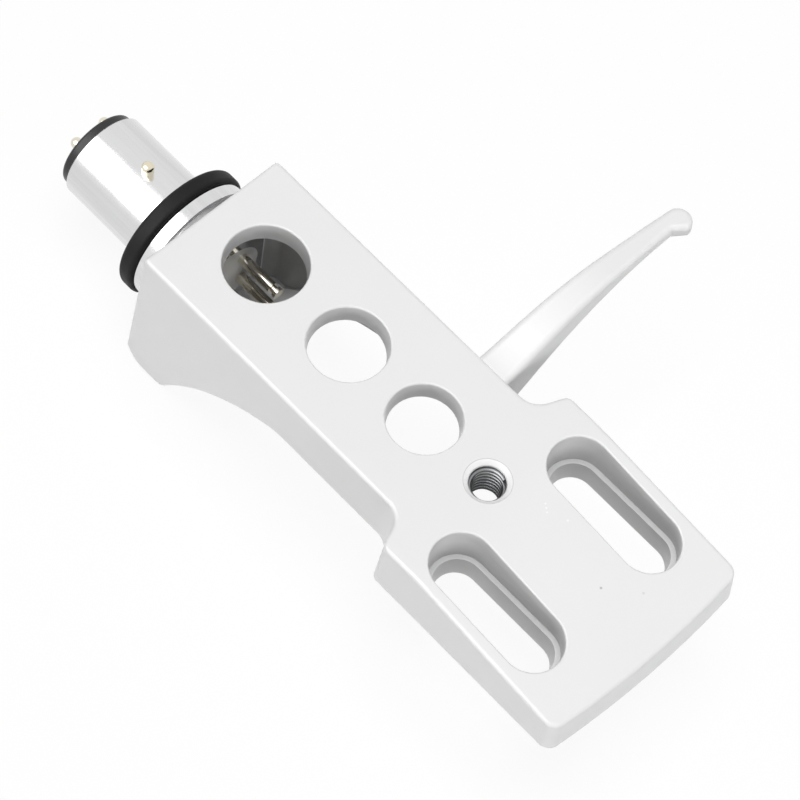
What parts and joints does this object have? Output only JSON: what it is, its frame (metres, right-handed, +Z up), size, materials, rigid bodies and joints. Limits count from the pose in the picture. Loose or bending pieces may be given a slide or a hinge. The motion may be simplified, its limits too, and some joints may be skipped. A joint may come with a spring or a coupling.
{
  "type": "turntable headshell",
  "caption": "Turntable headshell: chromed bayonet collar with contact pins, hollow tail, perforated arm, slotted cartridge platform and curved finger lift.",
  "frame": {"origin": "on the collar's axis, where the washer's front face meets the collar's shoulder", "axes": "+X along the shell to its nose, +Y towards the finger lift, +Z up through the shell's flat top"},
  "size_m": [0.0653, 0.0383, 0.0177],
  "materials": {
    "white_paint": "satin white paint on a light-alloy casting",
    "chrome": "polished plating",
    "brass": "turned brass",
    "black_rubber": "moulded, matt",
    "black_plastic": "moulded",
    "steel": "blackened grub screw",
    "gilding": "gold flash on turned pins"
  },
  "bodies": {
    "root": {"shell_body": "white_paint", "bayonet_collar": "chrome", "locking_pin": "brass", "rubber_washer": "black_rubber", "pin_carrier": "black_plastic", "collar_screw": "steel", "contact_pin_1": "gilding", "contact_pin_2": "gilding", "contact_pin_3": "gilding", "contact_pin_4": "gilding"}
  },
  "joints": []
}
